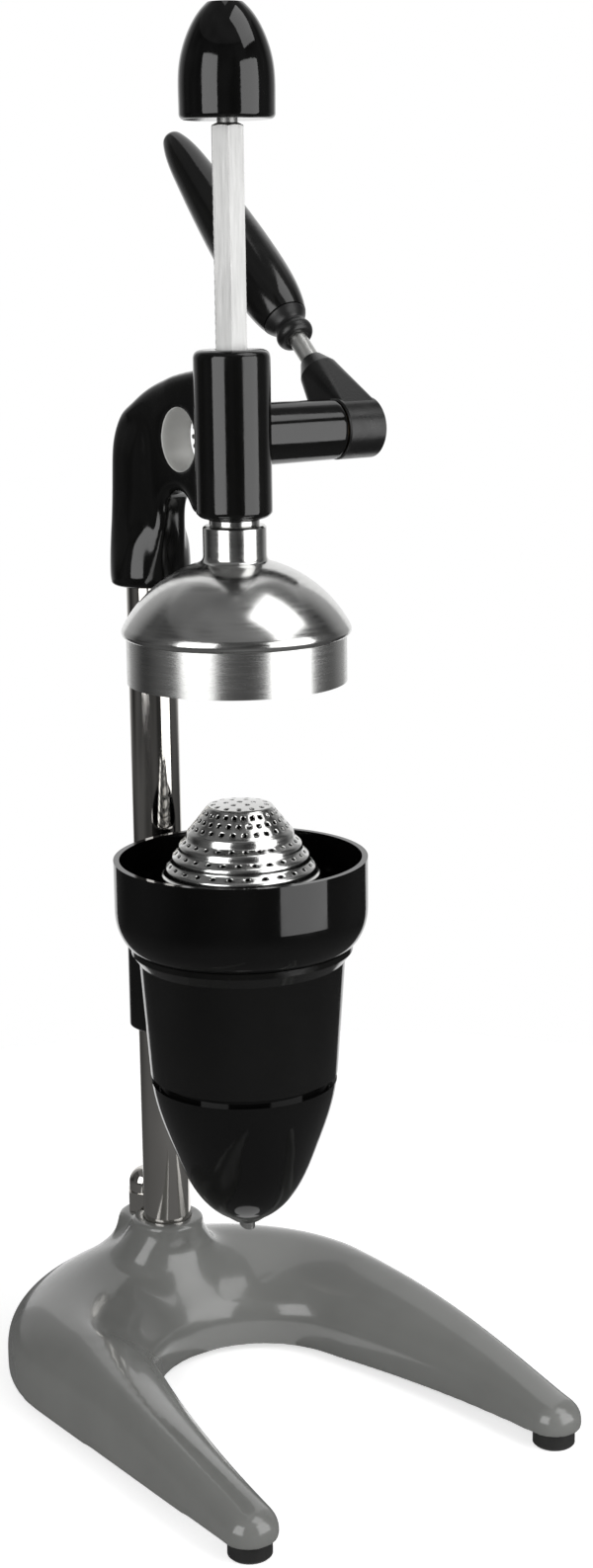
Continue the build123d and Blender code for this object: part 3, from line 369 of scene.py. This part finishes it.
def arm_keep(point):
    """The web and the sleeve melt together; bores, end faces and the window's rim stay."""
    x, y, z = point
    from_pinion = math.hypot(y - PINION_Y, z - PINION_Z)
    if math.hypot(x, y - COLUMN_Y) < COLUMN_BORE and z < 500 * MM:
        return 0.0
    if math.hypot(x, y) < BARREL_BORE or (x > -6 * MM and from_pinion < 13.6 * MM):
        return 0.0
    if x > HOUSING_X:
        return 0.055
    if z < 428 * MM or z > 547 * MM:
        return 0.11
    if math.hypot(x, y) < BARREL_RADIUS and z > 470 * MM:
        return 0.045
    from_hole = math.hypot(y - HOLE_Y, z - HOLE_Z)
    web = 0.08 + 0.38 * ease(from_hole, HOLE_RADIUS + 1 * MM, HOLE_RADIUS + 8 * MM)
    sleeve = ease(y, 46 * MM, 58 * MM) * ease(z, 430 * MM, 442 * MM)
    return web + (1 - web) * sleeve


def sleeve_half_width(z):
    """The upper sleeve is flattened step by step into the web."""
    height = z / MM
    for (low, wide), (high, narrow) in zip(SLEEVE_HALF_WIDTHS, SLEEVE_HALF_WIDTHS[1:]):
        if low <= height <= high:
            return (wide + (narrow - wide) * (height - low) / (high - low)) * MM
    (lowest, widest), (_, narrowest) = SLEEVE_HALF_WIDTHS[0], SLEEVE_HALF_WIDTHS[-1]
    return (widest if height < lowest else narrowest) * MM


def arm_reshape(point, normal):
    """Flatten the upper sleeve; its front runs down to the web at a slope without a corner."""
    x, y, z = point
    if y < 50 * MM or math.hypot(x, y - COLUMN_Y) < 14.8 * MM:
        return point
    slope = WEB_HALF_WIDTH * MM + max(y - 61 * MM, 0) * 0.4
    upper = ease(z, 438 * MM, 460 * MM)
    limit = min(sleeve_half_width(z), slope + (1 - upper) * 14 * MM)
    return Vector((math.copysign(min(abs(x), limit), x), y, z))


arm = smoothed_copy("upper_arm", "upper_arm_cast", 1.0 * MM, 130, arm_keep, arm_reshape)
place(arm, "frame", "black_enamel", "upper_arm")


def make_window_wall():
    """Bare machined wall of the web's window, open where the pinion's pocket breaks through."""
    sides, rows = 96, 24
    half_depth, thickness = 8.7 * MM, 0.1 * MM
    radius, flare = HOLE_RADIUS - 0.45 * MM, 0.55 * MM
    pocket_end, pocket_reach = -6.4 * MM, PINION_POCKET + 1.0 * MM
    net = bmesh.new()
    grid = []
    for i in range(sides):
        turn = 2 * math.pi * i / sides
        row = []
        for j in range(rows + 1):
            share = 2 * j / rows - 1
            reach = radius + flare * abs(share) ** 6
            row.append(net.verts.new((half_depth * share, HOLE_Y + reach * math.cos(turn),
                                      HOLE_Z + reach * math.sin(turn))))
        grid.append(row)
    for here, there in zip(grid, grid[1:] + grid[:1]):
        for j in range(rows):
            corners = [here[j], here[j + 1], there[j + 1], there[j]]
            centre = sum((corner.co for corner in corners), Vector()) / 4
            from_pinion = math.hypot(centre.y - PINION_Y, centre.z - PINION_Z)
            if centre.x <= pocket_end or from_pinion >= pocket_reach:
                net.faces.new(corners)
    bmesh.ops.delete(net, geom=[v for v in net.verts if not v.link_faces], context="VERTS")
    bmesh.ops.solidify(net, geom=net.faces[:], thickness=thickness)
    bmesh.ops.recalc_face_normals(net, faces=net.faces)
    wall = from_net("window_wall", net)
    place(wall, "frame", "zinc_steel")
    wall.data.materials[0] = MATERIALS["bare_casting"]


make_window_wall()


# ---------------------------------------------------------------- strainer

HOLES_ROUND = 26
STEPS = 2 * HOLES_ROUND
CONE_HOLE, CROWN_HOLE = 1.22 * MM, 1.25 * MM
CROWN_HEIGHT = 323.8

# radius and height in mm, and the holes between this point and the next: 0 for none, 1 and 2
# for rows that are half a step apart
STRAINER_PROFILE = (
    (16.6, 322.2, 0), (17.2, 321.2, 1), (20.1, 317.5, 2), (23.1, 313.8, 1), (26.0, 310.1, 0),
    (27.5, 308.8, 0), (27.6, 306.0, 0), (27.9, 305.3, 1), (30.3, 303.3, 0), (31.6, 302.3, 0),
    (31.6, 299.9, 0), (31.9, 299.2, 2), (34.2, 297.2, 0), (35.4, 296.2, 0), (35.4, 293.8, 0),
    (35.7, 293.1, 1), (37.9, 291.1, 0), (39.1, 290.1, 0), (39.1, 287.9, 0), (39.5, 287.2, 0),
    (40.8, 286.7, 0), (41.1, 285.9, 0), (41.1, 254.4, 0), (41.6, 253.9, 0), (43.8, 253.8, 0),
)


def turned(radius, height, step, count):
    """Point on a circle about the press axis, count steps round; radius and height in mm."""
    turn = 2 * math.pi * step / count
    return Vector((radius * math.cos(turn), radius * math.sin(turn), height)) * MM


def punched(net, rim, centre, radius):
    """Faces between a closed row of vertices and a round hole about a centre."""
    middle = Vector(centre)
    across = (rim[0].co - middle).normalized()
    normal = Vector()
    for here, there in zip(rim, rim[1:] + rim[:1]):
        normal += (here.co - middle).cross(there.co - middle)
    normal.normalize()
    across = (across - normal * across.dot(normal)).normalized()
    upward = normal.cross(across)
    hole = []
    for vertex in rim:
        away = vertex.co - middle
        angle = math.atan2(away.dot(upward), away.dot(across))
        hole.append(net.verts.new(middle + (across * math.cos(angle) + upward * math.sin(angle))
                                  * radius))
    for k in range(len(rim)):
        j = (k + 1) % len(rim)
        net.faces.new((rim[k], rim[j], hole[j], hole[k]))


def make_crown(net, rim):
    """Twenty holes in the crown: thirteen round the edge, six inside them and one in the middle."""
    edge_radius, edge_height, _ = STRAINER_PROFILE[0]
    inner_steps, near_steps = 24, 12
    outer_holes, inner_holes = 13.7, 7.0    # radii of the two rows of holes, in mm

    def height(radius):
        return CROWN_HEIGHT - (CROWN_HEIGHT - edge_height) * (radius / edge_radius) ** 2

    def ring(radius, count):
        return [net.verts.new(turned(radius, height(radius), k, count)) for k in range(count)]

    middle = ring(10.9, HOLES_ROUND)
    for k in range(0, STEPS, 4):
        i = k // 2
        outer = [rim[(k + n) % STEPS] for n in range(5)]
        inner = [middle[(i + n) % HOLES_ROUND] for n in (2, 1, 0)]
        punched(net, outer + inner, turned(outer_holes, height(outer_holes), k + 2, STEPS),
                CROWN_HOLE)
    bound = ring(9.9, inner_steps)
    near = ring(4.0, near_steps)
    edges = []
    for loop in (middle, bound):
        for here, there in zip(loop, loop[1:] + loop[:1]):
            edges.append(net.edges.get((here, there)) or net.edges.new((here, there)))
    bmesh.ops.bridge_loops(net, edges=edges)
    for k in range(6):
        outer = [bound[(4 * k + n) % inner_steps] for n in range(5)]
        inner = [near[(2 * k + n) % near_steps] for n in (2, 1, 0)]
        punched(net, outer + inner,
                turned(inner_holes, height(inner_holes), 4 * k + 2, inner_steps), CROWN_HOLE)
    punched(net, near, turned(0, height(0), 0, 1), CROWN_HOLE)


def make_strainer():
    """Pressed cone with a low crown and three ledges, holes through crown, cone and ledges."""
    net = bmesh.new()
    rings = [[net.verts.new(turned(radius, height, k, STEPS)) for k in range(STEPS)]
             for radius, height, _ in STRAINER_PROFILE]
    for upper, lower, above, below in zip(rings, rings[1:],
                                          STRAINER_PROFILE, STRAINER_PROFILE[1:]):
        row = above[2]
        if not row:
            skin(net, upper, lower)
            continue
        middle = (above[0] + below[0]) / 2, (above[1] + below[1]) / 2
        places = range(row - 1, STEPS, 2)
        posts = {k: net.verts.new(turned(*middle, k, STEPS)) for k in places}
        for k in places:
            i, j = (k + 1) % STEPS, (k + 2) % STEPS
            rim = [upper[k], posts[k], lower[k], lower[i], lower[j], posts[j], upper[j], upper[i]]
            punched(net, rim, turned(*middle, k + 1, STEPS), CONE_HOLE)
    make_crown(net, rings[0])
    bmesh.ops.recalc_face_normals(net, faces=net.faces)
    piece = from_net("strainer_pressed", net)
    wall = piece.modifiers.new("wall", "SOLIDIFY")
    wall.thickness = 0.8 * MM
    wall.offset = -1
    rounding = piece.modifiers.new("rounding", "SUBSURF")
    rounding.levels = rounding.render_levels = 2
    applied(piece)
    place(piece, "frame", "stainless", "strainer")


make_strainer()


# ---------------------------------------------------------------- lever collar

LEVER_X, LEVER_LEAN = 85.5, 48.8    # in mm, and in degrees from upright at rest

# distance from the pinion's axis along the lever, and radius, in mm
COLLAR_PROFILE = ((66.4, 4.6), (66.0, 5.4), (66.0, 7.0), (66.5, 8.5), (67.8, 9.6), (69.6, 10.2),
                  (71.4, 10.1), (73.0, 9.4), (74.3, 8.7), (75.6, 8.6), (77.2, 9.3), (79.4, 10.8),
                  (81.0, 11.8), (82.0, 12.15), (82.0, 9.0), (82.0, 4.6))


def make_collar():
    """Moulded end of the grip: a bead, a groove and a flare, turned about the lever's rod."""
    lean = math.radians(LEVER_LEAN)
    along = Vector((0, math.sin(lean), math.cos(lean)))
    across = Vector((1, 0, 0))
    third = along.cross(across)
    start = Vector((LEVER_X, PINION_Y / MM, PINION_Z / MM))
    steps = 64
    turns = [2 * math.pi * k / steps for k in range(steps)]
    net = bmesh.new()
    rows = []
    for reach, radius in COLLAR_PROFILE:
        outward = [across * math.cos(turn) + third * math.sin(turn) for turn in turns]
        rows.append([net.verts.new((start + along * reach + way * radius) * MM)
                     for way in outward])
    for here, there in zip(rows, rows[1:] + rows[:1]):
        skin(net, here, there)
    bmesh.ops.recalc_face_normals(net, faces=net.faces)
    piece = from_net("grip_collar_moulded", net)
    rounding = piece.modifiers.new("rounding", "SUBSURF")
    rounding.levels = rounding.render_levels = 1
    applied(piece)
    place(piece, "lever", "grip_collar", "grip_collar")


make_collar()


# ---------------------------------------------------------------- camera

PHOTO_WIDTH, PHOTO_HEIGHT = 600, 1587         # pixels
CENTRE_X, CENTRE_Y, FOCAL = 298.3, 805.5, 2473.9
HEADING, TILT, ROLL = -34.22, 12.99, -0.75    # degrees
STAND = (-656.8, -1015.6, 605.3)              # mm
SENSOR = 36


def photo_camera():
    """The photograph's viewpoint, with its optical centre a little off the picture's middle."""
    heading, tilt, roll = (math.radians(v) for v in (HEADING, TILT, ROLL))
    forward = Vector((-math.sin(heading) * math.cos(tilt), math.cos(heading) * math.cos(tilt),
                      -math.sin(tilt)))
    right = Vector((math.cos(heading), math.sin(heading), 0))
    up = right.cross(forward)
    turned_right = right * math.cos(roll) + up * math.sin(roll)
    turned_up = -right * math.sin(roll) + up * math.cos(roll)
    camera = bpy.data.cameras.new("photo_camera")
    camera.sensor_width = SENSOR
    camera.sensor_fit = "AUTO"
    camera.lens = FOCAL / PHOTO_HEIGHT * SENSOR
    camera.shift_x = (PHOTO_WIDTH / 2 - CENTRE_X) / PHOTO_HEIGHT
    camera.shift_y = (CENTRE_Y - PHOTO_HEIGHT / 2) / PHOTO_HEIGHT
    camera.clip_start = 0.01
    camera.clip_end = 100
    holder = bpy.data.objects.new("photo_camera", camera)
    bpy.context.scene.collection.objects.link(holder)
    pose = Matrix((turned_right, turned_up, -forward)).transposed().to_4x4()
    pose.translation = Vector(STAND) * MM
    holder.matrix_world = pose
    bpy.context.scene.camera = holder


photo_camera()


# ---------------------------------------------------------------- stage and light

BEHIND = 57.1         # degrees in plan of the side of the object that the photograph doesn't see
FLOOR_RADIUS = 0.62
FLOOR_GREY, FLOOR_GLOW = 0.82, 0.62

# angle round from the camera to its right, distance, height, height aimed at, width, length and
# radiance, 1 being white
SOFTBOXES = (("softbox_left", -41, 1.3, 0.72, 0.62, 0.90, 1.2, 3.2),
             ("softbox_right", 57, 0.85, 0.50, 0.48, 0.74, 0.98, 2.9),
             ("softbox_top", 72, 0.78, 1.65, 0.35, 0.9, 0.9, 2.4))


def seen_rays(tree):
    """1 for camera, glossy and transmission rays, 0 for the rest."""
    rays = tree.nodes.new("ShaderNodeLightPath")
    seen = combined(tree, "MAXIMUM", rays.outputs["Is Camera Ray"], rays.outputs["Is Glossy Ray"])
    return combined(tree, "MAXIMUM", seen, rays.outputs["Is Transmission Ray"])


def make_world():
    """White behind the object and in its reflections, and a soft fill on it."""
    world = bpy.data.worlds.new("studio")
    bpy.context.scene.world = world
    world.use_nodes = True
    tree = world.node_tree
    tree.nodes.clear()
    output = tree.nodes.new("ShaderNodeOutputWorld")
    mix = tree.nodes.new("ShaderNodeMixShader")
    fill = add(tree, "ShaderNodeBackground", Color=WHITE, Strength=0.25)
    white = add(tree, "ShaderNodeBackground", Color=WHITE, Strength=1.0)
    tree.links.new(seen_rays(tree), mix.inputs[0])
    tree.links.new(fill.outputs[0], mix.inputs[1])
    tree.links.new(white.outputs[0], mix.inputs[2])
    tree.links.new(mix.outputs[0], output.inputs["Surface"])


def make_floor():
    """A pale round table top that keeps the object's shadow and otherwise reaches white."""
    net = bmesh.new()
    bmesh.ops.create_circle(net, cap_ends=True, segments=96, radius=FLOOR_RADIUS)
    floor = from_net("studio_floor", net)
    floor.location = (0, -0.02, cad_low.z - 0.0002)
    material, tree, shader = new_material("floor_white")
    shader.inputs["Base Color"].default_value = (FLOOR_GREY, FLOOR_GREY, FLOOR_GREY, 1)
    shader.inputs["Roughness"].default_value = 0.8
    bumped(tree, shader, object_noise(tree, 900.0), 0.00001)
    lift = add(tree, "ShaderNodeEmission", Color=WHITE)
    tree.links.new(combined(tree, "MULTIPLY", seen_rays(tree), FLOOR_GLOW),
                   lift.inputs["Strength"])
    both = tree.nodes.new("ShaderNodeAddShader")
    tree.links.new(shader.outputs[0], both.inputs[0])
    tree.links.new(lift.outputs[0], both.inputs[1])
    tree.links.new(both.outputs[0], tree.nodes["Material Output"].inputs["Surface"])
    floor.data.materials.append(material)


def painted_reflection_glow(radius, top):
    """Painted reflection: a dim uneven glow, a little stronger on the ground near the object,
    overhead and behind.
    """
    material = bpy.data.materials.new("painted_reflection_glow")
    material.use_nodes = True
    tree = material.node_tree
    tree.nodes.clear()
    output = tree.nodes.new("ShaderNodeOutputMaterial")
    # painted reflection: the sheets' own glow, which only reflections show
    glow = add(tree, "ShaderNodeEmission", Color=WHITE)
    where = tree.nodes.new("ShaderNodeTexCoord").outputs["Object"]
    reach = tree.nodes.new("ShaderNodeVectorMath")
    reach.operation = "LENGTH"
    tree.links.new(where, reach.inputs[0])
    axes = tree.nodes.new("ShaderNodeSeparateXYZ")
    tree.links.new(where, axes.inputs[0])
    backward = tree.nodes.new("ShaderNodeVectorMath")
    backward.operation = "DOT_PRODUCT"
    behind = math.radians(BEHIND)
    backward.inputs[1].default_value = (math.cos(behind) / radius, math.sin(behind) / radius, 0)
    tree.links.new(where, backward.inputs[0])
    total = spread(tree, object_noise(tree, 0.8, 1.0), 0.03, 0.10)
    for part in (spread(tree, reach.outputs["Value"], 0.07, 0.0, 0.30, 0.75),
                 spread(tree, axes.outputs["Z"], 0.0, 0.10, top - 0.02, top),
                 spread(tree, backward.outputs["Value"], 0.0, 0.45, 0.45, 0.87)):
        total = combined(tree, "ADD", total, part)
    tree.links.new(total, glow.inputs["Strength"])
    tree.links.new(glow.outputs[0], output.inputs["Surface"])
    return material


def make_painted_reflection_sheets():
    """Glowing grey sheets on the ground beside the object, round it and over it, open behind it,
    that only reflections see: a painted reflection of dark surroundings."""
    radius, top, ground = 2.2, 2.4, 0.0012
    profile = ((0.03, ground), (radius, ground), (radius, top), (0.02, top))
    steps, half_opening = 60, 30
    start = math.radians(BEHIND + half_opening)
    span = 2 * (math.pi - math.radians(half_opening))
    net = bmesh.new()
    rows = []
    for step in range(steps + 1):
        turn = start + span * step / steps
        along = Vector((math.cos(turn), math.sin(turn), 0))
        rows.append([net.verts.new(along * reach + Vector((0, 0, z))) for reach, z in profile])
    for here, there in zip(rows, rows[1:]):
        skin(net, here, there, closed=False)
    glow_sheets = from_net("painted_reflection_sheets", net)
    # painted reflection: the sheets are hidden from every ray but glossy ones
    for switch in ("camera", "diffuse", "shadow", "transmission", "volume_scatter"):
        setattr(glow_sheets, "visible_" + switch, False)
    glow_sheets.data.materials.append(painted_reflection_glow(radius, top))


def make_softbox(name, angle, distance, height, aim, width, length, radiance):
    """Rectangular lamp that faces the press axis; its energy follows from its radiance."""
    light = bpy.data.lights.new(name, "AREA")
    light.shape = "RECTANGLE"
    light.size, light.size_y = width, length
    light.energy = radiance * math.pi * width * length
    lamp = bpy.data.objects.new(name, light)
    bpy.context.scene.collection.objects.link(lamp)
    turn = math.radians(BEHIND - 180 + angle)
    lamp.location = (distance * math.cos(turn), distance * math.sin(turn), height)
    lamp.rotation_euler = (Vector((0, 0, aim)) - lamp.location).to_track_quat("-Z", "Y").to_euler()


make_world()
make_floor()
# painted reflection: glowing sheets seen only in reflections
make_painted_reflection_sheets()
for softbox in SOFTBOXES:
    make_softbox(*softbox)
